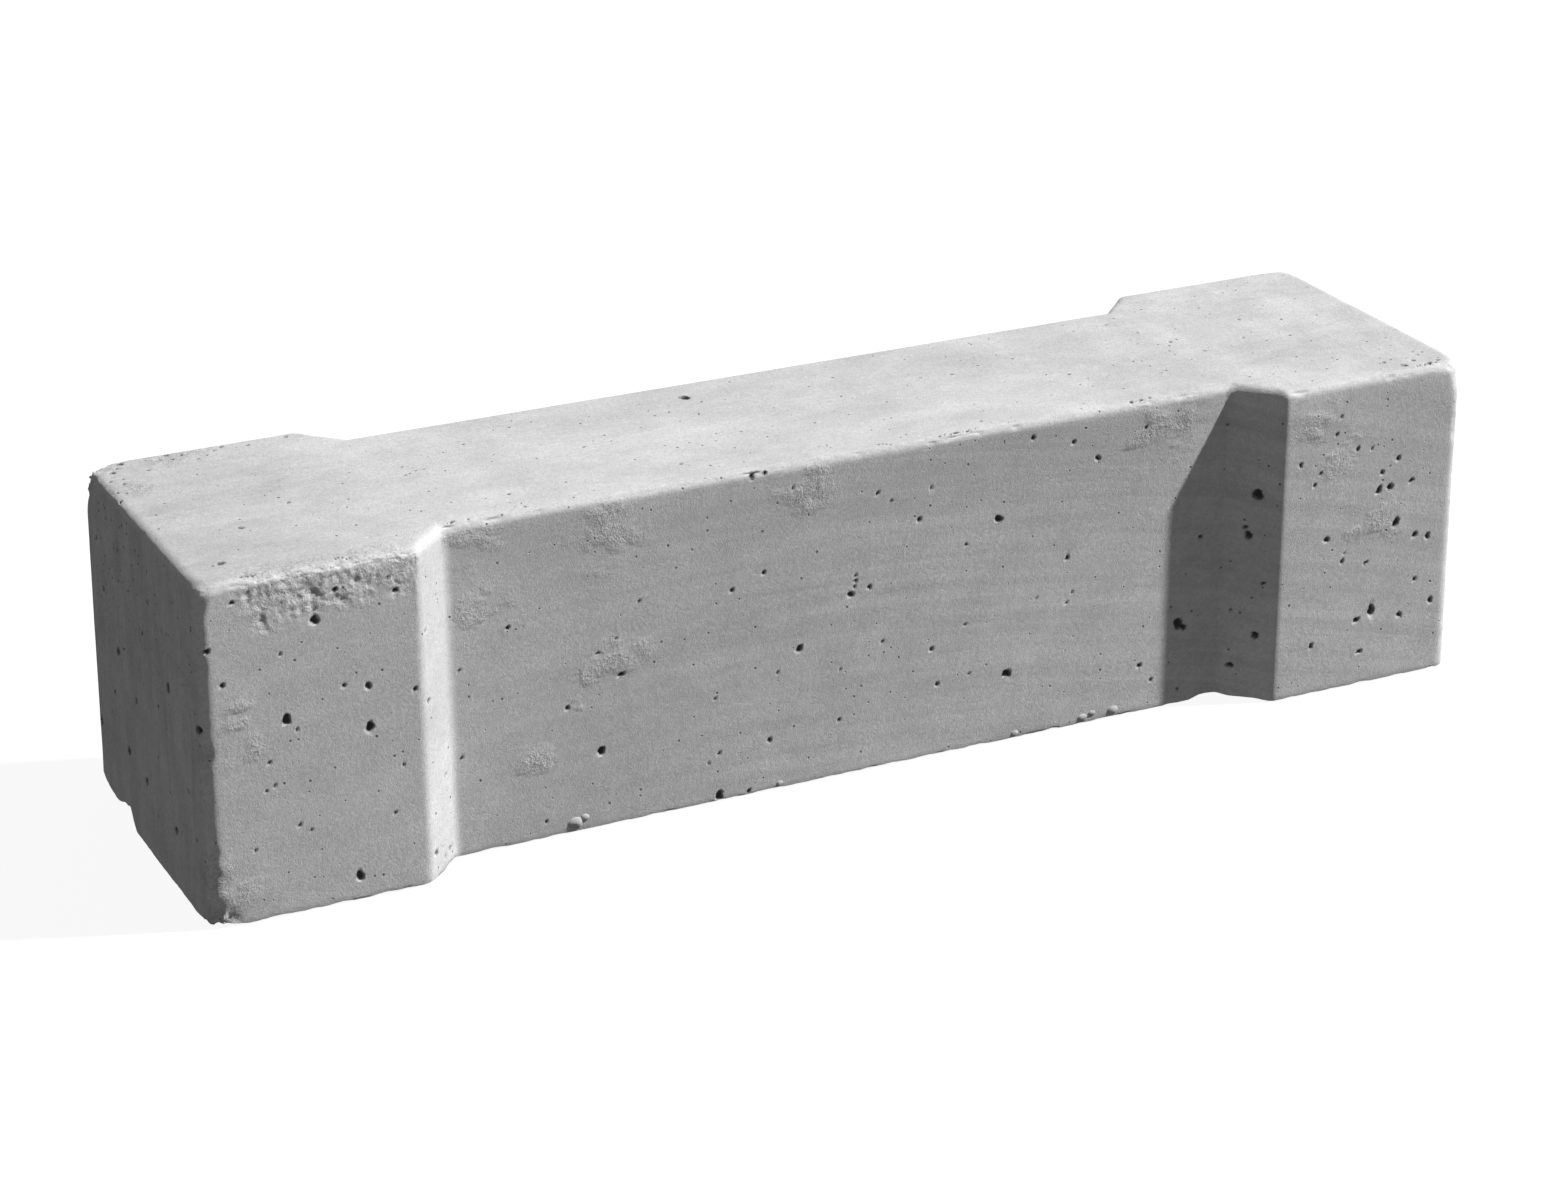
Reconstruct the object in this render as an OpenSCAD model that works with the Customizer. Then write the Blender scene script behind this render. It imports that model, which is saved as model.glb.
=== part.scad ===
// Precast concrete barrier block with a waist on both long sides, and the steel cage cast inside it.
// Origin at the centre of the base. X runs along the block, -Y is the front, +Z is up. Millimetres.
// The block is cast upside down: its top and sides come off the mould, its base is the open, screeded side.

/* [Block] */
// Length at the base
block_length = 1000; // [900:10:1400]
// Width of the end blocks at the base
block_width = 250; // [240:2:300]
// Height
block_height = 250; // [220:2:300]
// Length of each full-width end block
end_length = 160; // [140:5:220]
// How far each long side steps in between the end blocks
waist_depth = 30; // [16:1:32]
// Length along X of each sloping step
step_length = 30; // [16:1:60]

/* [Mould] */
// How far each side leans in from base to top, so that the block leaves its mould
draft = 2.5; // [0.5:0.5:4]
// Radius of the rounding around the top
top_radius = 10; // [4:1:12]
// Radius of the upright corners at the base
corner_radius = 13; // [10:1:16]
// Radius of the upright inner corners of the waist at the base
inner_radius = 12; // [6:1:16]

/* [Reinforcement] */
// Concrete between the cage and the waist's faces
cover = 30; // [28:1:34]
// Diameter of the four main bars
bar_diameter = 10; // [8:2:12]
// Diameter of the closed links
link_diameter = 6; // [5:1:6]
// Distance between the first link's centre and the end face
link_end_distance = 50; // [46:1:54]
// Diameter of the hairpin bars in the end blocks
hairpin_diameter = 8; // [6:1:8]
// Length of a hairpin along X
hairpin_length = 125; // [90:5:125]
// Diameter of the tie wire
wire_diameter = 1.4; // [1:0.2:1.6]

/* [Spacers] */
// Mortar left between a spacer's rim and the face of the block
spacer_skin = 2.5; // [2:0.5:4]
// Width of a spacer along its bar
spacer_width = 12; // [8:1:16]
// Wall of a spacer's rim and hub
spacer_wall = 3; // [2:0.5:4]
// Number of spokes
spacer_spokes = 8; // [6:1:10]

/* [Hidden] */
$fn = 48;
fit_gap = 0.2; // clearance between pieces of the cage that lie against each other
join = 0.5; // how far pieces of one bar run into each other
link_count = 7;
spacer_links = [2, 6]; // the links that carry spacers
arc_steps = 6; // points on each rounded corner less one
round_steps = 7; // rings in the rounding around the top

// Half sizes of the plan
half_length = block_length / 2;
half_width = block_width / 2;
waist_half = half_width - waist_depth;
step_outer_x = half_length - end_length;
step_inner_x = step_outer_x - step_length;

// Cage: centre lines
link_y = waist_half - cover - link_diameter / 2;
link_z_low = cover + link_diameter / 2;
link_z_high = block_height - cover - link_diameter / 2;
link_bend = 2.5 * link_diameter; // bend round a mandrel of four diameters
nest_offset = bar_diameter / 2 + link_diameter / 2 + fit_gap; // bar centre to link centre line, on the diagonal
bar_inset = link_bend - (link_bend - nest_offset) / sqrt(2); // bar centre in from the link's centre line
bar_y = link_y - bar_inset;
bar_z_low = link_z_low + bar_inset;
bar_z_high = link_z_high - bar_inset;
bar_length = block_length - 2 * cover;
link_pitch = (block_length - 2 * link_end_distance) / (link_count - 1);

hairpin_lift = bar_diameter / 2 + hairpin_diameter / 2 + fit_gap; // hairpin centre above or below the bar's
hairpin_x = half_length - cover - hairpin_diameter / 2;
hairpin_y = half_width - cover - hairpin_diameter / 2;
hairpin_bend = 2.5 * hairpin_diameter;

spacer_radius = cover + link_diameter / 2 - spacer_skin;

mould_grey = [0.62, 0.62, 0.61];
bar_brown = [0.42, 0.27, 0.2];
wire_grey = [0.25, 0.25, 0.27];
spacer_grey = [0.5, 0.52, 0.54];

bar_nodes = ["main_bar_top_front", "main_bar_top_back", "main_bar_bottom_front", "main_bar_bottom_back"];
hairpin_nodes = ["hairpin_top_left", "hairpin_top_right", "hairpin_bottom_left", "hairpin_bottom_right"];
spacer_nodes = ["spacer_front_left", "spacer_back_left", "spacer_top_left",
                "spacer_front_right", "spacer_back_right", "spacer_top_right"];

// ---- Plan outline ----

function unit(v) = v / norm(v);
function left_of(v) = [-v[1], v[0]];
function cross_z(a, b) = a[0] * b[1] - a[1] * b[0];

// Corners of the plan as [x, y, radius], anticlockwise from the left end of the front
plan_corners = [
    [-half_length, -half_width, corner_radius],
    [-step_outer_x, -half_width, corner_radius],
    [-step_inner_x, -waist_half, inner_radius],
    [step_inner_x, -waist_half, inner_radius],
    [step_outer_x, -half_width, corner_radius],
    [half_length, -half_width, corner_radius],
    [half_length, half_width, corner_radius],
    [step_outer_x, half_width, corner_radius],
    [step_inner_x, waist_half, inner_radius],
    [-step_inner_x, waist_half, inner_radius],
    [-step_outer_x, half_width, corner_radius],
    [-half_length, half_width, corner_radius]
];

// Points of corner i rounded, with every side moved in by inset. The arc keeps its centre as it moves in.
function rounded_corner(i, inset) =
    let (
        n = len(plan_corners),
        here = plan_corners[i],
        p = [here[0], here[1]],
        before = plan_corners[(i + n - 1) % n],
        after = plan_corners[(i + 1) % n],
        u = unit(p - [before[0], before[1]]),
        v = unit([after[0], after[1]] - p),
        bulge = sign(cross_z(u, v)),
        turn = bulge * acos(u * v),
        inward = (left_of(u) + left_of(v)) / (1 + left_of(u) * left_of(v)),
        centre = p + bulge * inward * here[2],
        start = atan2(left_of(u)[1], left_of(u)[0]),
        radius = here[2] - bulge * inset
    )
    [for (k = [0:arc_steps])
        let (a = start + turn * k / arc_steps)
        centre - bulge * radius * [cos(a), sin(a)]];

function plan_ring(inset) = [for (i = [0:len(plan_corners) - 1]) each rounded_corner(i, inset)];

// [height, inset] of each ring: the drafted sides, then the rounding around the top
draft_end = draft * (block_height - top_radius) / block_height;
top_inset = min(top_radius, corner_radius - draft_end - 0.2);
side_rings = concat(
    [[0, 0]],
    [for (k = [0:round_steps])
        let (a = 90 * k / round_steps)
        [block_height - top_radius * (1 - sin(a)), draft_end + top_inset * (1 - cos(a))]]
);

// ---- Concrete ----

module block_blank() {
    rings = [for (r = side_rings) [for (p = plan_ring(r[1])) [p[0], p[1], r[0]]]];
    n = len(rings[0]);
    last = len(rings) - 1;
    polyhedron(
        points = [for (ring = rings) each ring],
        faces = concat(
            [[for (k = [0:n - 1]) k]],
            [for (r = [0:last - 1]) for (k = [0:n - 1])
                [r * n + k, (r + 1) * n + k, (r + 1) * n + (k + 1) % n, r * n + (k + 1) % n]],
            [[for (k = [n - 1:-1:0]) last * n + k]]
        ),
        convexity = 4
    );
}

module concrete_body() {
    color(mould_grey) difference() {
        block_blank();
        cage();
    }
}

// ---- Bars and links ----

module cage() {
    for (i = [0:3]) main_bar(i);
    for (i = [1:link_count]) link(i);
    for (i = [0:3]) hairpin(i);
    link_ties();
    hairpin_ties();
    for (i = [0:5]) spacer(i);
}

// A straight bar along +Z from the origin
module rod(length, diameter) {
    cylinder(h = length, d = diameter);
}

// A quarter bend in the XY plane about the origin, from +X to +Y
module bend(radius, diameter) {
    rotate_extrude(angle = 90) translate([radius, 0]) circle(d = diameter);
}

// Main bar i: 0 and 1 are at the top, even ones are at the front
module main_bar(i) {
    y = i % 2 == 0 ? -bar_y : bar_y;
    z = i < 2 ? bar_z_high : bar_z_low;
    color(bar_brown) translate([-bar_length / 2, y, z]) rotate([0, 90, 0]) rod(bar_length, bar_diameter);
}

function link_x(i) = (i - (link_count + 1) / 2) * link_pitch;

// A closed link in the YZ plane, butt-welded into a ring
module link(i) {
    leg_y = link_y - link_bend;
    mid_z = (link_z_low + link_z_high) / 2;
    leg_z = (link_z_high - link_z_low) / 2 - link_bend;
    color(bar_brown) translate([link_x(i), 0, mid_z]) {
        for (side = [-1, 1]) {
            translate([0, side * link_y, -leg_z]) rod(2 * leg_z, link_diameter);
            translate([0, -leg_y, side * (leg_z + link_bend)]) rotate([-90, 0, 0]) rod(2 * leg_y, link_diameter);
        }
        for (quarter = [[1, 1, 0], [-1, 1, 90], [-1, -1, 180], [1, -1, 270]])
            translate([0, quarter[0] * leg_y, quarter[1] * leg_z])
                rotate([90, 0, 90]) rotate([0, 0, quarter[2]]) bend(link_bend, link_diameter);
    }
}

// Hairpin i: 0 and 1 lie on the top bars, even ones are at the left end. Its legs point to the waist.
module hairpin(i) {
    z = i < 2 ? bar_z_high + hairpin_lift : bar_z_low - hairpin_lift;
    leg = hairpin_length - hairpin_diameter / 2 - hairpin_bend;
    back = hairpin_y - hairpin_bend;
    color(bar_brown) translate([0, 0, z]) mirror([i % 2 == 0 ? 1 : 0, 0, 0]) {
        translate([hairpin_x, -back, 0]) rotate([-90, 0, 0]) rod(2 * back, hairpin_diameter);
        for (side = [-1, 1]) {
            translate([hairpin_x - hairpin_bend - leg, side * hairpin_y, 0])
                rotate([0, 90, 0]) rod(leg, hairpin_diameter);
            translate([hairpin_x - hairpin_bend, side * back, 0])
                rotate([0, 0, side > 0 ? 0 : -90]) bend(hairpin_bend, hairpin_diameter);
        }
    }
}

// ---- Tie wires ----

// A ring of wire round two crossing bars. Its plane holds the Z axis, from bar to bar, and the diagonal of X and Y.
module tie(bar_d, other_d) {
    // the bars cross the ring's plane at 45 degrees, so each is wider there by the square root of 2
    reach = bar_d / 2;
    far_reach = reach + fit_gap + other_d;
    middle = (far_reach - reach) / 2;
    half_span = (far_reach + reach) / 2;
    corner = norm([middle, reach * sqrt(2)]);
    ring_radius = max(half_span, corner) + wire_diameter / 2 + 5 * fit_gap;
    translate([0, 0, middle]) rotate([0, 0, 45]) rotate([90, 0, 0])
        rotate_extrude() translate([ring_radius, 0]) circle(d = wire_diameter, $fn = 16);
}

module link_ties() {
    color(wire_grey)
        for (i = [1:link_count]) for (side_y = [-1, 1]) for (top = [0, 1])
            translate([link_x(i), side_y * bar_y, top ? bar_z_high : bar_z_low])
                rotate([(top ? 1 : 3) * -45 * side_y, 0, 0]) tie(bar_diameter, link_diameter);
}

module hairpin_ties() {
    color(wire_grey)
        for (side_x = [-1, 1]) for (side_y = [-1, 1]) for (top = [0, 1])
            translate([side_x * hairpin_x, side_y * bar_y, top ? bar_z_high : bar_z_low])
                rotate([top ? 0 : 180, 0, 0]) tie(bar_diameter, hairpin_diameter);
}

// ---- Spacers ----

// A plastic wheel on a bar along Z, slotted towards -X so that it snaps onto the bar
module spacer_wheel() {
    bar_hole = link_diameter / 2 + fit_gap;
    hub = bar_hole + spacer_wall;
    color(spacer_grey) translate([0, 0, -spacer_width / 2]) difference() {
        union() {
            difference() {
                cylinder(h = spacer_width, r = spacer_radius);
                translate([0, 0, -1]) cylinder(h = spacer_width + 2, r = spacer_radius - spacer_wall);
            }
            cylinder(h = spacer_width, r = hub);
            for (k = [0:spacer_spokes - 1])
                rotate([0, 0, (k + 0.5) * 360 / spacer_spokes])
                    translate([hub - join, -spacer_wall / 4, 0])
                        cube([spacer_radius - spacer_wall - hub + 2 * join, spacer_wall / 2, spacer_width]);
        }
        translate([0, 0, -1]) cylinder(h = spacer_width + 2, r = bar_hole);
        slot = 0.8 * link_diameter;
        translate([-spacer_radius - 1, -slot / 2, -1]) cube([spacer_radius + 1, slot, spacer_width + 2]);
    }
}

// Spacer i: front, back and top of the left spacer link, then of the right one
module spacer(i) {
    x = link_x(spacer_links[floor(i / 3)]);
    mid_z = (link_z_low + link_z_high) / 2;
    place = i % 3;
    if (place == 2) translate([x, 0, link_z_high]) rotate([90, 0, 0]) rotate([0, 0, 90]) spacer_wheel();
    else translate([x, place == 0 ? -link_y : link_y, mid_z]) rotate([0, 0, place == 0 ? -90 : 90]) spacer_wheel();
}

// ---- Nodes ----

concrete_body();
for (i = [0:3]) main_bar(i);
for (i = [1:link_count]) link(i);
for (i = [0:3]) hairpin(i);
link_ties();
hairpin_ties();
for (i = [0:5]) spacer(i);
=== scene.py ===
"""Looks of a precast concrete barrier block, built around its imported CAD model.

Lengths in the mesh code are millimetres, and objects are in metres.
+X is the block's right end, -Y its front and +Z up.
"""

import math

import bmesh
import bpy
import numpy as np
from mathutils import Euler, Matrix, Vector, noise


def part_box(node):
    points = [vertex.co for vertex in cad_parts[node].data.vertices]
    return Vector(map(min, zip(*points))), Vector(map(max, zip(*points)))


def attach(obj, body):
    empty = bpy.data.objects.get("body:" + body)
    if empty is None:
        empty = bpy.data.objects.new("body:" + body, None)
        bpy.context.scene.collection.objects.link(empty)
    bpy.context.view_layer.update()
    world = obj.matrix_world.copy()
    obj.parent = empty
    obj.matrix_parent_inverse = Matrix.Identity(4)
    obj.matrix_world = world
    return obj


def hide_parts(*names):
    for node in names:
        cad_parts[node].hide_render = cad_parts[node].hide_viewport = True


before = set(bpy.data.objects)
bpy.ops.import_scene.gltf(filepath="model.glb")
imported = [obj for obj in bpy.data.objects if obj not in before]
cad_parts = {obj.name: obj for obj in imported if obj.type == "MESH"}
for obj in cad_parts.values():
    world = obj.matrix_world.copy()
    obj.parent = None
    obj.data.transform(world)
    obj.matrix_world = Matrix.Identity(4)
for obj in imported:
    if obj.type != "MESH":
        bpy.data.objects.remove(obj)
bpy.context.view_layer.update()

MM = 0.001

# ---- Sizes of the block ----

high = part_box("concrete_body")[1]
HALF_LENGTH = high.x / MM
HALF_WIDTH = high.y / MM
HEIGHT = high.z / MM
WAIST_DEPTH = 30.0
END_LENGTH = 160.0
STEP_LENGTH = 30.0
WAIST_HALF = HALF_WIDTH - WAIST_DEPTH
STEP_OUTER = HALF_LENGTH - END_LENGTH
STEP_INNER = STEP_OUTER - STEP_LENGTH
OUTER_BLEND = 4.0  # half width of the soft corner where an end block turns into its step
INNER_BLEND = 2.5  # the same where the step meets the waist
DRAFT = 2.5  # how far each upright face leans in over its height
UPRIGHT_RADIUS = 12.0
TOP_RADIUS = 8.0
BASE_RADIUS = 1.5

# ---- Holes, chips and patches, in round millimetres ----

# Air holes as (along the face, up or across it, diameter).
# The front and back take x and z, the ends y and z, and the top x and y.
FRONT_HOLES = [
    # left end block
    (-415, 211, 7), (-490, 203, 5), (-380, 157, 5), (-438, 144, 8), (-380, 127, 8), (-347, 148, 4),
    (-481, 177, 4), (-471, 234, 4), (-392, 18, 8), (-455, 95, 3), (-365, 60, 3), (-425, 60, 3),
    (-400, 230, 4), (-358, 222, 4),
    # waist
    (-80, 245, 6), (-70, 246, 4), (-108, 4, 7), (-85, 3, 4), (1, 155, 3), (1, 151, 3), (0, 147, 3),
    (-3, 141, 5), (12, 144, 4), (-183, 114, 5), (-199, 59, 8), (-44, 107, 6), (-97, 162, 4),
    (-72, 171, 4), (-267, 166, 4), (-224, 97, 4), (-200, 134, 3), (-68, 40, 4), (-108, 38, 3),
    (199, 211, 5), (117, 178, 7), (175, 137, 4), (126, 54, 8), (52, 189, 4), (68, 57, 4), (63, 86, 4),
    (240, 38, 4), (144, 236, 4), (178, 227, 4), (273, 66, 9), (278, 62, 6), (290, 133, 4),
    # right end block
    (427, 157, 7), (437, 158, 6), (429, 171, 4), (444, 128, 8), (443, 180, 4), (456, 160, 5),
    (462, 115, 5), (474, 112, 5), (382, 125, 5), (369, 171, 4), (356, 189, 4), (397, 105, 4),
    (419, 100, 4), (426, 60, 9), (413, 54, 6), (452, 51, 5), (480, 58, 5), (373, 40, 5), (417, 27, 5),
    (406, 194, 4), (464, 78, 4), (390, 222, 3),
]
RIGHT_STEP_HOLES = [
    (327, 166, 10), (323, 133, 7), (321, 139, 4), (329, 53, 7), (316, 26, 6), (332, 96, 4),
]
LEFT_STEP_HOLES = [
    (-335, 135, 4), (-336, 187, 3), (-320, 70, 4), (-318, 12, 4), (-334, 20, 5), (-322, 205, 3),
]
LEFT_HOLES = [
    (58, 133, 7), (-57, 152, 9), (20, 111, 6), (111, 58, 8), (45, 62, 8), (6, 55, 7), (-58, 46, 7),
    (-118, 146, 7), (85, 170, 5), (-20, 200, 4), (-90, 90, 4), (-32, 128, 4), (72, 96, 4), (95, 205, 4),
]
TOP_HOLES = [
    (-467, -91, 6), (-435, -38, 4), (-62, 60, 9), (215, -20, 3), (-250, -60, 3), (395, 30, 3),
    (-120, -60, 3), (-472, 112, 5), (-455, 118, 4), (-438, 115, 4), (-415, 119, 4), (-398, 113, 3),
    (-482, 98, 5), (-489, 82, 4), (-490, 60, 3), (-362, 118, 4), (-380, 108, 3), (450, -112, 5),
    (462, -106, 4), (440, -100, 4), (470, -116, 4), (-446, 106, 3), (-428, 110, 3), (-405, 108, 3),
    (-476, 104, 4), (-484, 90, 3), (-481, 74, 3), (-392, 119, 3), (-350, 112, 3), (-466, 119, 4),
    (-494, 44, 3), (-420, 98, 3), (-458, 92, 3),
]
HOLE_SCALE = 0.84  # the painted shade round a hole makes it look larger than it is
SMALLEST_HOLE = 2.6

# Ragged nicks along the top's edges: x and y of both ends, and their width
TOP_NICKS = [
    (-463, -117, -447, -118, 2.4), (-398, -115, -384, -117, 2.4), (-306, -89, -292, -90, 2.8),
    (20, -86, 30, -88, 2.4), (62, -90, 100, -89, 2.6), (458, -118, 480, -114, 2.2),
    (480, -114, 483, -108, 2.0), (225, -90, 245, -89, 2.2), (-455, 116, -425, 118, 2.4),
    (-250, 88, -215, 89, 2.4),
]
NICK_PITCH = 2.2
NICK_STRAY = 1.3

# ---- Sizes of the grid that the block is drawn from ----

UNIT = 1.25  # finest cell
FINE_CELL = 2.5
FACE_CELL = 5.0
BASE_CELL = 10.0
COARSEST = 8  # units in the coarsest cell
EDGE_ZONE = 13  # cells this near an edge are fine
STEP_ZONE = 8  # the same either side of a step
CELLS = np.round(np.array([2 * HALF_LENGTH, 2 * HALF_WIDTH, HEIGHT]) / UNIT).astype(int)
ORIGIN = np.array([-HALF_LENGTH, -HALF_WIDTH, 0.0])


# ---- Places on the block ----

def soft_ramp(t, start, blend):
    """0 before start and t - start after it, blended smoothly over that much either way."""
    d = t - start
    return np.where(d < -blend, 0.0, np.where(d > blend, d, (d + blend) ** 2 / (4 * blend)))


def half_width_at(x):
    """Half width of the plan at the base, at this x."""
    t = np.abs(x)
    return WAIST_HALF + soft_ramp(t, STEP_INNER, INNER_BLEND) - soft_ramp(t, STEP_OUTER, OUTER_BLEND)


def to_surface(face, u, v):
    """Point in mm for a hole listed on a face."""
    if face == "front":
        return (u, -float(half_width_at(u)) + DRAFT * v / HEIGHT, v)
    if face == "back":
        return (u, float(half_width_at(u)) - DRAFT * v / HEIGHT, v)
    if face == "left":
        return (-HALF_LENGTH + DRAFT * v / HEIGHT, u, v)
    if face == "right":
        return (HALF_LENGTH - DRAFT * v / HEIGHT, u, v)
    return (u, v, HEIGHT)


def all_holes():
    """Rows of x, y, z and radius of every hole: the listed ones, the nicks and the seeded ones."""
    lists = (
        ("front", FRONT_HOLES + RIGHT_STEP_HOLES + LEFT_STEP_HOLES),
        ("left", LEFT_HOLES),
        ("top", TOP_HOLES),
    )
    rows = [(*to_surface(face, u, v), d / 2) for face, holes in lists for u, v, d in holes]
    rows += nick_holes()
    rows += seeded_holes()
    rows = np.array(rows)
    rows[:, 3] *= HOLE_SCALE
    return rows


def nick_holes():
    """A nick is a straggling row of tiny holes."""
    random = np.random.default_rng(17)
    rows = []
    for x0, y0, x1, y1, width in TOP_NICKS:
        count = int(math.hypot(x1 - x0, y1 - y0) / NICK_PITCH) + 1
        for t in np.linspace(0, 1, count):
            dx, dy = random.uniform(-NICK_STRAY, NICK_STRAY, 2)
            d = width * random.uniform(0.3, 1.1)
            rows.append((*to_surface("top", x0 + t * (x1 - x0) + dx, y0 + t * (y1 - y0) + dy), d / 2))
    return rows


def seeded_holes():
    """All sizes on the back and the right end, which have no list, and tiny ones on the other faces."""
    random = np.random.default_rng(11)
    along = HALF_LENGTH - 20
    across = HALF_WIDTH - 16
    lowest, highest = 8, HEIGHT - 12
    tiny = 3.6
    plans = (
        # face, how many, reach of u either way, range of v, largest diameter
        ("back", 70, along, lowest, highest, 9),
        ("right", 16, across, lowest, highest, 8),
        ("front", 40, along, lowest, highest, tiny),
        ("left", 10, across, lowest, highest, tiny),
        ("top", 10, along, -WAIST_HALF + 10, WAIST_HALF - 10, tiny),
    )
    rows = []
    for face, count, reach, v_low, v_high, largest in plans:
        for _ in range(count):
            u = random.uniform(-reach, reach)
            v = random.uniform(v_low, v_high)
            d = SMALLEST_HOLE + (largest - SMALLEST_HOLE) * random.random() ** 2.5
            rows.append((*to_surface(face, u, v), d / 2))
    return rows


HOLES = all_holes()

# Patches of coarse skin: face, u and v as for the holes, and radius
COARSE_PATCHES = [
    ("front", -200, 108, 28), ("front", -180, 128, 24), ("front", -290, 235, 26), ("front", -470, 135, 22),
    ("front", -285, 180, 24), ("front", -190, 218, 30), ("front", -248, 56, 16), ("front", -40, 228, 26),
    ("front", -485, 30, 22), ("front", -470, 150, 14), ("front", 380, 205, 34), ("front", 420, 130, 30),
    ("front", 250, 225, 40), ("top", -420, 112, 30), ("top", -370, 115, 26),
    ("top", -470, 110, 30), ("top", -480, 60, 22), ("back", -120, 120, 40), ("back", 230, 60, 36),
    ("back", -430, 210, 36), ("right", 40, 190, 34), ("right", -70, 60, 28), ("left", 60, 215, 26),
]

# The peeled patch under the top edge of the left end block, and the drip in it
PEEL_X = -403
PEEL_END = -330  # x and z that the patch stays within
PEEL_LOW = 205
DRIP_X = -416

# Worn corners: place, radius and depth
WORN_CORNERS = [
    ((-HALF_LENGTH, HALF_WIDTH, HEIGHT), 36, 3.8),
    ((-HALF_LENGTH, -HALF_WIDTH, HEIGHT), 16, 0.6),
    ((-HALF_LENGTH, -HALF_WIDTH, 190), 13, 1.0),
    ((-HALF_LENGTH, -HALF_WIDTH, 128), 16, 1.0),
    ((-HALF_LENGTH, -HALF_WIDTH, 40), 26, 0.9),
    ((-HALF_LENGTH, -HALF_WIDTH, 0), 26, 4.5),
]

# Pebbles bared along the bottom edge: x, side (-1 front, 1 back), width and height of the middle
PEBBLES = [
    (-220, -1, 17, 7), (-213, -1, 9, 10), (192, -1, 12, 5), (200, -1, 8, 7), (218, -1, 13, 6),
    (134, -1, 8, 4), (393, -1, 14, 5), (-60, -1, 7, 4), (-250, 1, 16, 6), (-90, 1, 11, 5),
    (40, 1, 14, 6), (260, 1, 12, 5), (-430, 1, 13, 6),
]


# ---- Grid on the box that the block is drawn from ----

def shrink(points):
    """Box points drawn in to the waist: y is scaled by the block's half width at x."""
    out = points.copy()
    out[:, 1] *= half_width_at(points[:, 0]) / HALF_WIDTH
    return out


def finest_wanted(axis, side, centres, half):
    """Largest allowed cell, in mm, for cells of a face with these centres and half size."""
    x, y, z = shrink(centres).T
    base = axis == 2 and side == 0
    wanted = np.full(len(centres), BASE_CELL if base else FACE_CELL)
    edge = np.full(len(centres), np.inf)
    if axis != 0:
        edge = np.minimum(edge, HALF_LENGTH - np.abs(x))
    if axis != 1:
        edge = np.minimum(edge, half_width_at(x) - np.abs(y))
    if axis != 2:
        edge = np.minimum(edge, np.minimum(HEIGHT - z, z + 3))
    wanted[edge < EDGE_ZONE + half] = FINE_CELL
    if axis == 1:
        zone = STEP_ZONE + half
        near_step = (np.abs(x) > STEP_INNER - zone) & (np.abs(x) < STEP_OUTER + zone)
        wanted[near_step] = FINE_CELL
        wanted[(x < PEEL_END) & (z > PEEL_LOW)] = UNIT
    surface = np.stack([x, y, z], 1)
    if axis == 1 and side == 0:
        for face, u, v, radius in COARSE_PATCHES:
            if face == "front":
                wanted[np.hypot(x - u, z - v) < 1.05 * radius] = FINE_CELL
    for hx, hy, hz, r in HOLES:
        d = surface - (hx, hy, hz)
        d[:, axis] *= 0.3
        wanted[(np.abs(d) < r + half + 1.0).all(1)] = UNIT
    return wanted


def box_cells():
    """Cells on the box's six faces, split where detail needs it, as (axis, side, corners, size)."""
    leaves = []
    for axis in range(3):
        u, v = [k for k in range(3) if k != axis]
        for side in (0, 1):
            across, up = np.arange(0, CELLS[u], COARSEST), np.arange(0, CELLS[v], COARSEST)
            i, j = np.meshgrid(across, up, indexing="ij")
            cells = np.stack([i.ravel(), j.ravel()], 1)
            size = COARSEST
            while size > 1 and len(cells):
                centres = np.zeros((len(cells), 3))
                centres[:, axis] = CELLS[axis] * side
                centres[:, u] = cells[:, 0] + size / 2
                centres[:, v] = cells[:, 1] + size / 2
                centres = centres * UNIT + ORIGIN
                split = finest_wanted(axis, side, centres, size * UNIT / 2) < size * UNIT - 1e-6
                leaves.append((axis, side, cells[~split], size))
                size //= 2
                cells = np.concatenate([cells[split] + [a, b] for a in (0, size) for b in (0, size)])
            leaves.append((axis, side, cells, size))
    return leaves


def box_mesh():
    """Grid vertices in units and faces that share every vertex on their borders."""
    stride = (CELLS[1] + 1) * (CELLS[2] + 1), CELLS[2] + 1, 1
    index = {}
    loops = []
    for axis, side, cells, size in box_cells():
        u, v = [k for k in range(3) if k != axis]
        start = int(CELLS[axis] * side * stride[axis])
        su, sv = int(stride[u]), int(stride[v])
        flip = (side == 0) != (axis == 1)
        for i, j in cells.tolist():
            a = start + i * su + j * sv
            for key in (a, a + size * su, a + size * su + size * sv, a + size * sv):
                index.setdefault(key, len(index))
            loops.append((a, su, sv, size, flip))
    faces = []
    for a, su, sv, size, flip in loops:
        ring = []
        for corner, step in ((a, su), (a + size * su, sv), (a + size * (su + sv), -su), (a + size * sv, -sv)):
            ring += [index[key] for key in range(corner, corner + size * step, step) if key in index]
        faces.append(ring[::-1] if flip else ring)
    keys = np.array(list(index))
    units = np.stack([keys // stride[0], keys % stride[0] // stride[1], keys % stride[1]], 1)
    return units, faces


# ---- Noise ----

def fractal(points, size, octaves=3, shift=0.0):
    """Smooth noise about 0, mostly within 1, with features of the given size in mm."""
    move = Vector((shift, shift * 1.7, shift * 0.6))
    scaled = (points / size).tolist()
    return np.array([noise.fractal(Vector(p) + move, 1.0, 2.0, octaves) for p in scaled])


# ---- The block's smooth surface ----

def rounded_corner(a, b, radius):
    """Distance field where two faces with distances a and b meet in a rounding."""
    a, b = a + radius, b + radius
    return np.hypot(np.maximum(a, 0), np.maximum(b, 0)) + np.minimum(np.maximum(a, b), 0) - radius


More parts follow.
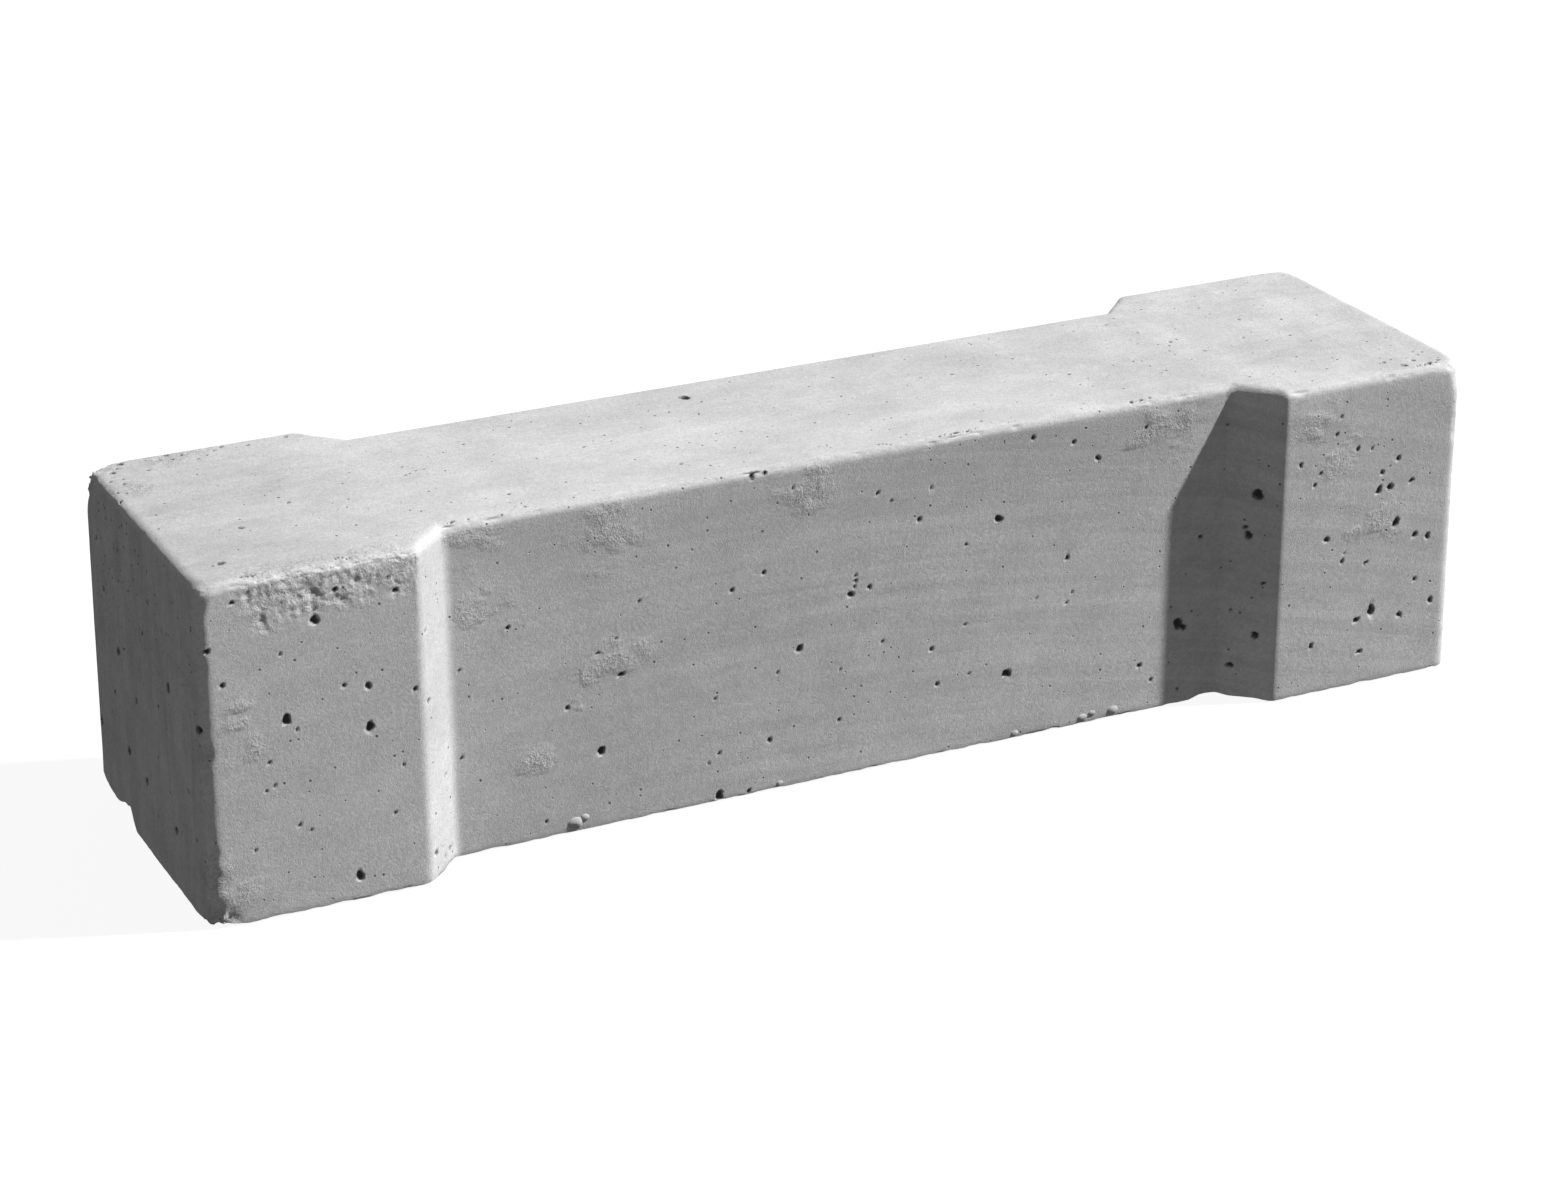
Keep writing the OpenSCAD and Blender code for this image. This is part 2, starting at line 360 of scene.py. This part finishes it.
def distance(points, wear):
    """Signed distance in mm from the block's drafted and rounded surface; wear scales its roundings."""
    x, y, z = points.T
    t = 0.5
    slope = (half_width_at(x + t) - half_width_at(x - t)) / (2 * t)
    long_side = (np.abs(y) - half_width_at(x)) / np.hypot(1, slope)
    plan = rounded_corner(long_side, np.abs(x) - HALF_LENGTH, UPRIGHT_RADIUS * wear)
    plan = plan + DRAFT * np.clip(z, 0, HEIGHT) / HEIGHT
    upper = rounded_corner(plan, z - HEIGHT, TOP_RADIUS * wear)
    return rounded_corner(upper, -z, BASE_RADIUS)


def slope_of(points, wear):
    t = 0.2
    g = np.zeros_like(points)
    for k in range(3):
        step = np.zeros(3)
        step[k] = t
        g[:, k] = distance(points + step, wear) - distance(points - step, wear)
    return g / (2 * t)


def settle(points, wear):
    """Moves points onto the surface along its normals, and returns them with the normals."""
    for _ in range(5):
        g = slope_of(points, wear)
        g2 = np.maximum((g ** 2).sum(1), 0.2)
        points = points - (distance(points, wear) / g2)[:, None] * g
    g = slope_of(points, wear)
    return points, g / np.maximum(np.linalg.norm(g, axis=1), 1e-6)[:, None]


def band(value, low_edge, high_edge):
    """0 below low_edge, 1 above high_edge, smooth between; either edge may be the larger."""
    t = np.clip((value - low_edge) / (high_edge - low_edge), 0, 1)
    return t * t * (3 - 2 * t)


def ball(points, centre, radius):
    """1 at the centre, falling smoothly to 0 at the radius."""
    return band(np.linalg.norm(points - np.array(centre, float), axis=1), radius, 0.35 * radius)


def carve_holes(points, normals):
    """Depth in mm of the air holes at each point, and how strongly painted shade darkens them there, up to 1.
    """
    depth = np.zeros(len(points))
    hole_shade = np.zeros(len(points))
    random = np.random.default_rng(5)
    for hx, hy, hz, r in HOLES:
        turn = random.uniform(0, math.pi)
        squeeze = random.uniform(0.65, 1.0)
        lobes = random.uniform(0, 2 * math.pi, 2)
        near = np.flatnonzero((np.abs(points - (hx, hy, hz)) < 2.2 * r).all(1))
        if not len(near):
            continue
        d = points[near] - (hx, hy, hz)
        n = normals[near].mean(0)
        n /= np.linalg.norm(n)
        side = np.cross(n, (0.0, 0.0, 1.0) if abs(n[2]) < 0.7 else (0.0, 1.0, 0.0))
        side /= np.linalg.norm(side)
        up = np.cross(side, n)
        a, b = d @ side, d @ up
        p = a * math.cos(turn) + b * math.sin(turn)
        q = (b * math.cos(turn) - a * math.sin(turn)) / squeeze
        angle = np.arctan2(q, p)
        reach = r * (1 + 0.14 * np.cos(2 * angle + lobes[0]) + 0.08 * np.cos(3 * angle + lobes[1]))
        rho = np.hypot(p, q) / reach
        bowl = np.clip(1 - rho ** 2, 0, 1) ** 0.4 * min(1.3 * r, 5.0)
        depth[near] = np.maximum(depth[near], bowl)
        # painted shade: the hole and a thin ring round it are darkened in the colour, standing in for the
        # shade in the hollow
        hole_shade[near] = np.maximum(hole_shade[near], np.clip((1.25 - rho) / 0.3, 0, 1))
    return depth, hole_shade


def corner_wear(start):
    """Scale of the roundings: uneven, and larger at the four upper corners."""
    wear = 1 + 0.10 * fractal(start, 120, 2, 3.1)
    corner = np.zeros(len(start))
    for sx in (-1, 1):
        for sy in (-1, 1):
            corner = np.maximum(corner, ball(start, (sx * HALF_LENGTH, sy * HALF_WIDTH, HEIGHT), 30))
    return np.clip(wear + 0.4 * corner, 0.6, 1.8)


def mould_waves(start, z, upright):
    """Slow waves of the mould faces, finer unevenness, and a lean towards the top edge."""
    sink = 0.3 * (1 + fractal(start, 190, 2, 7.7))
    sink += 0.05 * (1 + fractal(start, 30, 3, 1.3))
    sink += 0.7 * np.exp(-(HEIGHT - z) / 12) * upright
    return sink


def peeled_patch(start, points, small, lumps):
    """Depth and coarseness of the peeled skin and of its drip."""
    x, y, z = points.T
    flakes = fractal(start, 4.5, 3, 8.8)
    stray = 14 * fractal(start, 26, 3, 6.1)
    front = band(y, -100, -110)
    peel = band(np.abs(x - PEEL_X) + stray, 72, 54) * band(z + stray, 214, 228) * front
    drip = band(np.abs(x - DRIP_X + 3 * small), 5, 1) * band(z, 208, 216) * band(z, 240, 228) * front
    relief = 0.2 + 1.3 * np.clip(lumps + 0.1, 0, 1) + 0.9 * np.clip(flakes + 0.1, 0, 1)
    return peel * relief + 0.9 * drip, 0.7 * peel + 0.4 * drip


def coarse_patches(start, points, lumps):
    """Depth and coarseness of the listed patches."""
    broken = fractal(start * [0.6, 0.6, 1.1], 22, 4, 3.7)
    sink = np.zeros(len(points))
    coarse = np.zeros(len(points))
    for face, u, v, radius in COARSE_PATCHES:
        patch = ball(points, to_surface(face, u, v), 1.3 * radius) * np.clip(0.15 + 2.2 * broken, 0, 1)
        coarse = np.maximum(coarse, patch)
        sink += 0.7 * patch * np.clip(lumps + 0.2, 0, 1)
    return sink, coarse


def worn_corners(points, small):
    """Depth and coarseness of the listed corners."""
    sink = np.zeros(len(points))
    crumbs = np.zeros(len(points))
    for centre, radius, depth in WORN_CORNERS:
        mask = ball(points, centre, radius)
        crumbs = np.maximum(crumbs, mask)
        sink += mask * depth * (0.6 + 0.9 * small)
    return sink, crumbs


def shape_bottom(points, start):
    """Raises points for the ragged bottom edge, the lost corner and the base; returns the edge's rise."""
    x, y, z = points.T
    flat = start * [1, 1, 0]
    outline = np.minimum(half_width_at(x) - np.abs(y), HALF_LENGTH - np.abs(x))
    ragged = 0.8 * np.clip(0.3 + 1.3 * fractal(flat, 13, 3, 5.5), 0, None)
    ragged += 4.0 * np.clip(fractal(flat, 30, 2, 8.1) - 0.36, 0, 1)
    # the corner lost at the back of the left end
    lost = 12 * band(x, -470, -485) * band(y, 38, 52) * (1 + 0.35 * fractal(flat, 18, 3, 2.2))
    lost *= 0.72 + 0.28 * band(np.abs(y - 88), 8, 22)
    lift = np.maximum((ragged + lost) * band(outline, 16, 2), lost)
    points[:, 2] = np.where(z < 30, lift + z * (1 - lift / 30), z)
    # shallow hollows of the screeded base, never below the ground
    under = band(points[:, 2], 6, 0) * band(outline, 3, 14)
    points[:, 2] += under * np.clip(0.8 + 1.0 * fractal(start, 30, 4, 6.6), 0, None)
    return lift


def tone_and_shade_of(start, normals, z, arris):
    """Paler arrises, end blocks and feet of the steps; painted shade darkens the end faces and the upper band
    of the waist's upright faces.
    """
    upright = 1 - np.abs(normals[:, 2])
    along = np.abs(normals[:, 0])
    on_waist = band(np.abs(start[:, 0]), STEP_INNER + 5, STEP_INNER - 5)
    on_step = band(along, 0.35, 0.6) * band(along, 0.95, 0.8)
    tone_and_shade = 0.04 * arris + 0.03 * (1 - on_waist) + 0.08 * on_step * band(z, 130, 20)
    # painted shade: the waist's upright faces darken in colour towards their top edge
    tone_and_shade -= 0.09 * on_waist * upright * band(z, 180, 235)
    # painted shade: the end faces are darker in colour
    tone_and_shade -= 0.05 * band(along, 0.8, 0.95)
    return tone_and_shade


def mesh_object(name, points, faces):
    """A smooth object in the scene, from points in mm."""
    mesh = bpy.data.meshes.new(name)
    mesh.from_pydata((np.array(points) * MM).tolist(), [], faces)
    mesh.polygons.foreach_set("use_smooth", np.ones(len(mesh.polygons), bool))
    made = bpy.data.objects.new(name, mesh)
    bpy.context.scene.collection.objects.link(made)
    return made


def build_concrete():
    units, faces = box_mesh()
    start = shrink(units * UNIT + ORIGIN)
    points, normals = settle(start, corner_wear(start))

    z = points[:, 2]
    moved = np.linalg.norm(points - start, axis=1) - DRAFT * z / HEIGHT
    arris = np.clip((moved - 0.15) / 1.4, 0, 1) * band(z, 4, 12)
    small = fractal(start, 8, 3, 4.4)
    lumps = fractal(start, 10, 3, 2.9)
    nibble = np.clip(fractal(start, 14, 3, 9.2) - 0.32, 0, 1)

    peel_depth, peel = peeled_patch(start, points, small, lumps)
    patch_depth, patches = coarse_patches(start, points, lumps)
    corner_depth, crumbs = worn_corners(points, small)
    hole_depth, hole_shade = carve_holes(points, normals)
    sink = mould_waves(start, z, 1 - np.abs(normals[:, 2]))
    sink += arris * (0.12 + 0.22 * small + 2.8 * nibble)
    sink += peel_depth + patch_depth + corner_depth
    sink = np.maximum(sink, 0) + hole_depth
    points = points - normals * sink[:, None]
    lift = shape_bottom(points, start)

    z = points[:, 2]
    coarse = np.maximum(np.maximum(peel, patches), 0.8 * crumbs) + band(lift, 0.8, 2.5) * band(z, 12, 3)
    skin = mesh_object("concrete_skin", points, faces)
    skin.data.set_sharp_from_angle(angle=math.radians(55))
    for name, values in (
        ("hole", hole_shade),
        ("tone_and_shade", tone_and_shade_of(start, normals, z, arris)),
        ("coarse", np.clip(coarse, 0, 1)),
        # painted shade: the top face is darker in colour, and darker still towards the left end
        ("top", band(normals[:, 2], 0.75, 0.98) * (1 + 0.85 * band(start[:, 0], -300, -440))),
        ("end", band(np.abs(normals[:, 0]), 0.75, 0.98)),
    ):
        layer = skin.data.attributes.new(name, "FLOAT", "POINT")
        layer.data.foreach_set("value", values.astype(np.float32))
    skin.data.update()
    return skin


def build_pebbles():
    """Stones that stand a little out of the concrete at the bottom edge, all in one mesh."""
    random = np.random.default_rng(23)
    points, faces = [], []
    for x, side, width, middle in PEBBLES:
        ball_mesh = bmesh.new()
        bmesh.ops.create_icosphere(ball_mesh, subdivisions=4, radius=1.0)
        ball_mesh.verts.index_update()
        stone = np.array([v.co[:] for v in ball_mesh.verts])
        first = len(points)
        faces += [[first + v.index for v in f.verts] for f in ball_mesh.faces]
        ball_mesh.free()
        thick = width * random.uniform(0.32, 0.4)
        tall = min(width * random.uniform(0.3, 0.42), middle - 0.6)
        lump = 1 + 0.16 * fractal(stone * 10, 11, 2, float(random.uniform(0, 50)))[:, None]
        stone = stone * np.clip(lump, 0.8, 1.0) * [width / 2, thick, tall]
        turn = random.uniform(-0.4, 0.4)
        c, s = math.cos(turn), math.sin(turn)
        if width / 2 * abs(s) + tall <= middle:
            stone = stone @ np.array([[c, 0, s], [0, 1, 0], [-s, 0, c]])
        face_y = float(half_width_at(x)) - DRAFT * middle / HEIGHT
        proud = 0.1 * width if abs(x) < STEP_INNER else 0.0
        points += (stone + [x, side * (face_y - thick + proud), middle]).tolist()
    return mesh_object("bared_pebbles", points, faces)


# ---- Materials ----

CONCRETE_ALBEDO = 0.582


class Nodes:
    """A new material's node tree, with short calls for the nodes used here."""

    def __init__(self, name):
        self.material = bpy.data.materials.new(name)
        self.material.use_nodes = True
        self.tree = self.material.node_tree
        self.shader = self.tree.nodes["Principled BSDF"]
        self.place = self.tree.nodes.new("ShaderNodeTexCoord").outputs["Object"]

    def put(self, socket, value):
        if isinstance(value, bpy.types.NodeSocket):
            self.tree.links.new(value, socket)
        else:
            socket.default_value = value

    def noise(self, scale, detail=3.0, rough=0.5, at=None, distortion=0.0):
        n = self.tree.nodes.new("ShaderNodeTexNoise")
        self.put(n.inputs["Vector"], at or self.place)
        n.inputs["Scale"].default_value = scale
        n.inputs["Detail"].default_value = detail
        n.inputs["Roughness"].default_value = rough
        n.inputs["Distortion"].default_value = distortion
        return n.outputs["Fac"]

    def voronoi(self, scale, at=None):
        n = self.tree.nodes.new("ShaderNodeTexVoronoi")
        self.put(n.inputs["Vector"], at or self.place)
        n.inputs["Scale"].default_value = scale
        return n

    def math(self, operation, a, b=0.0, clamp=False):
        n = self.tree.nodes.new("ShaderNodeMath")
        n.operation = operation
        n.use_clamp = clamp
        self.put(n.inputs[0], a)
        self.put(n.inputs[1], b)
        return n.outputs[0]

    def range(self, value, from_low, from_high, to_low=0.0, to_high=1.0):
        n = self.tree.nodes.new("ShaderNodeMapRange")
        for key, v in zip(("Value", "From Min", "From Max", "To Min", "To Max"),
                          (value, from_low, from_high, to_low, to_high)):
            self.put(n.inputs[key], v)
        return n.outputs[0]

    def scaled(self, scale, at=None):
        n = self.tree.nodes.new("ShaderNodeMapping")
        self.put(n.inputs["Vector"], at or self.place)
        n.inputs["Scale"].default_value = scale
        return n.outputs[0]

    def attribute(self, name):
        n = self.tree.nodes.new("ShaderNodeAttribute")
        n.attribute_name = name
        return n.outputs["Fac"]

    def mix(self, factor, a, b):
        n = self.tree.nodes.new("ShaderNodeMix")
        n.data_type = "RGBA"
        self.put(n.inputs[0], factor)
        self.put(n.inputs[6], a)
        self.put(n.inputs[7], b)
        return n.outputs[2]

    def bump(self, height, distance, strength=1.0, onto=None):
        n = self.tree.nodes.new("ShaderNodeBump")
        n.inputs["Strength"].default_value = strength
        n.inputs["Distance"].default_value = distance
        self.put(n.inputs["Height"], height)
        if onto is not None:
            self.put(n.inputs["Normal"], onto)
        return n.outputs[0]

    def product(self, *factors):
        out = factors[0]
        for f in factors[1:]:
            out = self.math("MULTIPLY", out, f)
        return out

    def one_plus(self, mask, amount):
        """1 + mask * amount, which lightens where the mask is set, or darkens if amount is negative."""
        return self.math("ADD", 1.0, self.math("MULTIPLY", mask, amount))

    def grey(self, level):
        colour = self.tree.nodes.new("ShaderNodeCombineColor")
        for k in range(3):
            self.put(colour.inputs[k], level)
        return colour.outputs[0]


def pour_layers(n):
    """Faint layers left by the pour, bowed along the block and weaker at its left end."""
    axes = n.tree.nodes.new("ShaderNodeSeparateXYZ")
    n.put(axes.inputs[0], n.place)
    x, y, z = axes.outputs
    bow = n.math("MULTIPLY", 0.25, n.math("POWER", n.math("ADD", x, 0.1), 2.0))
    bowed = n.tree.nodes.new("ShaderNodeCombineXYZ")
    for k, v in enumerate((x, y, n.math("ADD", z, bow))):
        n.put(bowed.inputs[k], v)
    streaks = n.noise(1.0, 4, 0.6, at=n.scaled((4.0, 12.0, 95.0), at=bowed.outputs[0]), distortion=0.5)
    depth = n.range(x, -0.3, -0.05, 0.02, 0.07)
    return n.one_plus(depth, n.range(streaks, 0.35, 0.65, -1.0, 1.0))


def pinholes(n):
    """1 in small spots, which only some cells have."""
    cells = n.voronoi(165.0)
    pick = n.tree.nodes.new("ShaderNodeSeparateColor")
    n.put(pick.inputs[0], cells.outputs["Color"])
    reach = n.range(pick.outputs[0], 0.6, 1.0, 0.02, 0.2)
    return n.range(n.math("SUBTRACT", cells.outputs["Distance"], reach), -0.05, 0.0, 1.0, 0.0)


def concrete_material():
    n = Nodes("cast_concrete")
    clouds = n.range(n.noise(6.0, 6, 0.6, distortion=0.5), 0.3, 0.7, 0.93, 1.07)
    blotches = n.range(n.noise(32.0, 5, 0.65, distortion=0.3), 0.3, 0.7, 0.94, 1.06)
    grain = n.range(n.noise(260.0, 6, 0.85), 0.3, 0.7, 0.86, 1.14)
    sand = n.range(n.noise(800.0, 2, 0.6), 0.3, 0.7, 0.91, 1.09)
    crumbs = n.range(n.noise(420.0, 3, 0.7), 0.35, 0.65, 0.8, 1.16)
    # light and dark brushing on the top, and runs of wet on the ends
    brush = n.noise(1.0, 5, 0.65, at=n.scaled((14.0, 38.0, 38.0)), distortion=0.8)
    runs = n.noise(1.0, 5, 0.7, at=n.scaled((60.0, 60.0, 14.0)), distortion=0.4)
    top = n.attribute("top")
    coarse = n.attribute("coarse")
    pin = pinholes(n)
    shade = n.product(
        clouds, blotches, grain, sand, pour_layers(n),
        n.one_plus(coarse, n.math("SUBTRACT", crumbs, 1.0)),
        # painted shade: the pinholes are darkened in the colour
        n.one_plus(pin, -0.65),
        # painted shade darkens the air holes
        n.one_plus(n.attribute("hole"), -0.82),
        # painted shade darkens the top face
        n.one_plus(top, -0.15),
        n.one_plus(top, n.range(brush, 0.35, 0.65, -0.05, 0.05)),
        n.one_plus(n.attribute("end"), n.range(runs, 0.35, 0.65, -0.09, 0.09)),
        # paler tone in places, and painted shade on the end faces and under the waist's top edge
        n.math("ADD", 1.0, n.attribute("tone_and_shade")),
        CONCRETE_ALBEDO,
    )
    n.put(n.shader.inputs["Base Color"], n.grey(shade))
    n.put(n.shader.inputs["Roughness"], n.range(n.noise(60.0, 3), 0.3, 0.7, 0.82, 0.95))
    n.shader.inputs["Specular IOR Level"].default_value = 0.25

    fine = n.bump(n.noise(800.0, 4, 0.8), 0.0006, 0.6)
    even = n.bump(n.noise(260.0, 5, 0.75), 0.0008, 0.4, fine)
    crumbly = n.bump(n.math("MULTIPLY", n.noise(330.0, 4, 0.75), coarse), 0.0024, 0.7, even)
    n.put(n.shader.inputs["Normal"], n.bump(n.math("SUBTRACT", 1.0, pin), 0.0009, 0.8, crumbly))
    return n.material


def pebble_material():
    n = Nodes("bared_pebble")
    body = n.range(n.noise(90.0, 4, 0.6), 0.3, 0.7, 0.40, 0.56)
    speck = n.range(n.noise(900.0, 4, 0.75), 0.35, 0.65, 0.82, 1.15)
    n.put(n.shader.inputs["Base Color"], n.grey(n.math("MULTIPLY", body, speck)))
    n.put(n.shader.inputs["Roughness"], n.range(speck, 0.82, 1.15, 0.95, 0.8))
    n.put(n.shader.inputs["Normal"], n.bump(n.noise(1000.0, 3, 0.6), 0.0003, 0.5))
    return n.material


def steel_material():
    n = Nodes("rusted_bar")
    spots = n.range(n.noise(220.0, 5, 0.65), 0.38, 0.62)
    scale = n.range(n.noise(45.0, 4, 0.6), 0.4, 0.6)
    rust = n.mix(spots, (0.17, 0.065, 0.028, 1), (0.30, 0.13, 0.055, 1))
    n.put(n.shader.inputs["Base Color"], n.mix(scale, rust, (0.11, 0.10, 0.10, 1)))
    n.put(n.shader.inputs["Roughness"], n.range(scale, 0, 1, 0.85, 0.5))
    n.put(n.shader.inputs["Metallic"], n.range(scale, 0, 1, 0.05, 0.6))
    n.put(n.shader.inputs["Normal"], n.bump(n.noise(700.0, 4, 0.7), 0.0004, 0.5))
    return n.material


def wire_material():
    n = Nodes("annealed_wire")
    soot = n.range(n.noise(500.0, 4, 0.6), 0.35, 0.65)
    n.put(n.shader.inputs["Base Color"], n.mix(soot, (0.035, 0.035, 0.04, 1), (0.09, 0.085, 0.085, 1)))
    n.put(n.shader.inputs["Roughness"], n.range(soot, 0, 1, 0.4, 0.65))
    n.shader.inputs["Metallic"].default_value = 0.8
    n.put(n.shader.inputs["Normal"], n.bump(n.noise(1500.0, 2), 0.0001, 0.4))
    return n.material


def plastic_material():
    n = Nodes("spacer_plastic")
    flow = n.range(n.noise(90.0, 3, 0.5, distortion=1.0), 0.35, 0.65)
    n.put(n.shader.inputs["Base Color"], n.mix(flow, (0.20, 0.215, 0.23, 1), (0.25, 0.265, 0.28, 1)))
    n.put(n.shader.inputs["Roughness"], n.range(n.noise(400.0, 3), 0.3, 0.7, 0.45, 0.6))
    n.put(n.shader.inputs["Normal"], n.bump(n.noise(1200.0, 2), 0.00015, 0.3))
    return n.material


# ---- Pieces ----

skin = build_concrete()
skin.data.materials.append(concrete_material())
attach(skin, "root")
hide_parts("concrete_body")

pebbles = build_pebbles()
pebbles.data.materials.append(pebble_material())
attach(pebbles, "root")

cage_materials = {"link_ties": wire_material(), "hairpin_ties": wire_material()}
steel, plastic = steel_material(), plastic_material()
for name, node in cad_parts.items():
    if name == "concrete_body":
        continue
    material = cage_materials.get(name) or (plastic if name.startswith("spacer") else steel)
    node.data.materials.clear()
    node.data.materials.append(material)

# ---- Stage, light and camera ----

scene = bpy.context.scene
scene.view_settings.view_transform = "Standard"


def stage_floor():
    """A floor that lights nothing, white where the sun falls and hardly darker in the shadow."""
    reach = 60.0
    drop = -0.0005
    corners = [(-reach, -reach, drop), (reach, -reach, drop), (reach, reach, drop), (-reach, reach, drop)]
    mesh = bpy.data.meshes.new("floor")
    mesh.from_pydata(corners, [], [(0, 1, 2, 3)])
    floor = bpy.data.objects.new("floor", mesh)
    scene.collection.objects.link(floor)
    n = Nodes("pale_floor")
    n.shader.inputs["Base Color"].default_value = (0.09, 0.09, 0.09, 1)
    n.shader.inputs["Roughness"].default_value = 1.0
    n.shader.inputs["Specular IOR Level"].default_value = 0.0
    n.shader.inputs["Emission Color"].default_value = (1, 1, 1, 1)
    n.shader.inputs["Emission Strength"].default_value = 0.92
    mesh.materials.append(n.material)
    floor.visible_diffuse = False
    floor.visible_glossy = False


def add_light(name, kind, towards, energy, distance=3.0, size=1.0, angle=0.0):
    """A light that lies in the direction towards from the middle of the block, and shines back at it."""
    data = bpy.data.lights.new(name, kind)
    data.energy = energy
    if kind == "SUN":
        data.angle = math.radians(angle)
    else:
        data.size = size
    light = bpy.data.objects.new(name, data)
    direction = Vector(towards).normalized()
    light.location = Vector((0, 0, 0.1)) + direction * distance
    light.rotation_euler = direction.to_track_quat("Z", "Y").to_euler()
    light.visible_camera = False
    scene.collection.objects.link(light)


def stage_world():
    """Weak even light, seen as white."""
    world = bpy.data.worlds.new("studio")
    world.use_nodes = True
    tree = world.node_tree
    sky = tree.nodes["Background"]
    sky.inputs["Color"].default_value = (1, 1, 1, 1)
    sky.inputs["Strength"].default_value = 0.16
    seen = tree.nodes.new("ShaderNodeBackground")
    seen.inputs["Color"].default_value = (1, 1, 1, 1)
    path = tree.nodes.new("ShaderNodeLightPath")
    mix = tree.nodes.new("ShaderNodeMixShader")
    tree.links.new(path.outputs["Is Camera Ray"], mix.inputs[0])
    tree.links.new(sky.outputs[0], mix.inputs[1])
    tree.links.new(seen.outputs[0], mix.inputs[2])
    tree.links.new(mix.outputs[0], tree.nodes["World Output"].inputs["Surface"])
    scene.world = world


stage_floor()
stage_world()
add_light("key", "SUN", (0.66, -0.23, 0.71), 5.4, angle=1.6)
add_light("back_fill", "AREA", (0.25, 1.0, 0.35), 12.0, distance=2.5, size=2.0)

camera = bpy.data.objects.new("camera", bpy.data.cameras.new("camera"))
camera.data.sensor_width = 36.0
camera.data.lens = 91.19
camera.location = (-1.1788, -2.3756, 1.2409)
camera.rotation_euler = Euler([math.radians(a) for a in (66.728, -0.003, -25.992)])
scene.collection.objects.link(camera)
scene.camera = camera

bpy.context.view_layer.update()
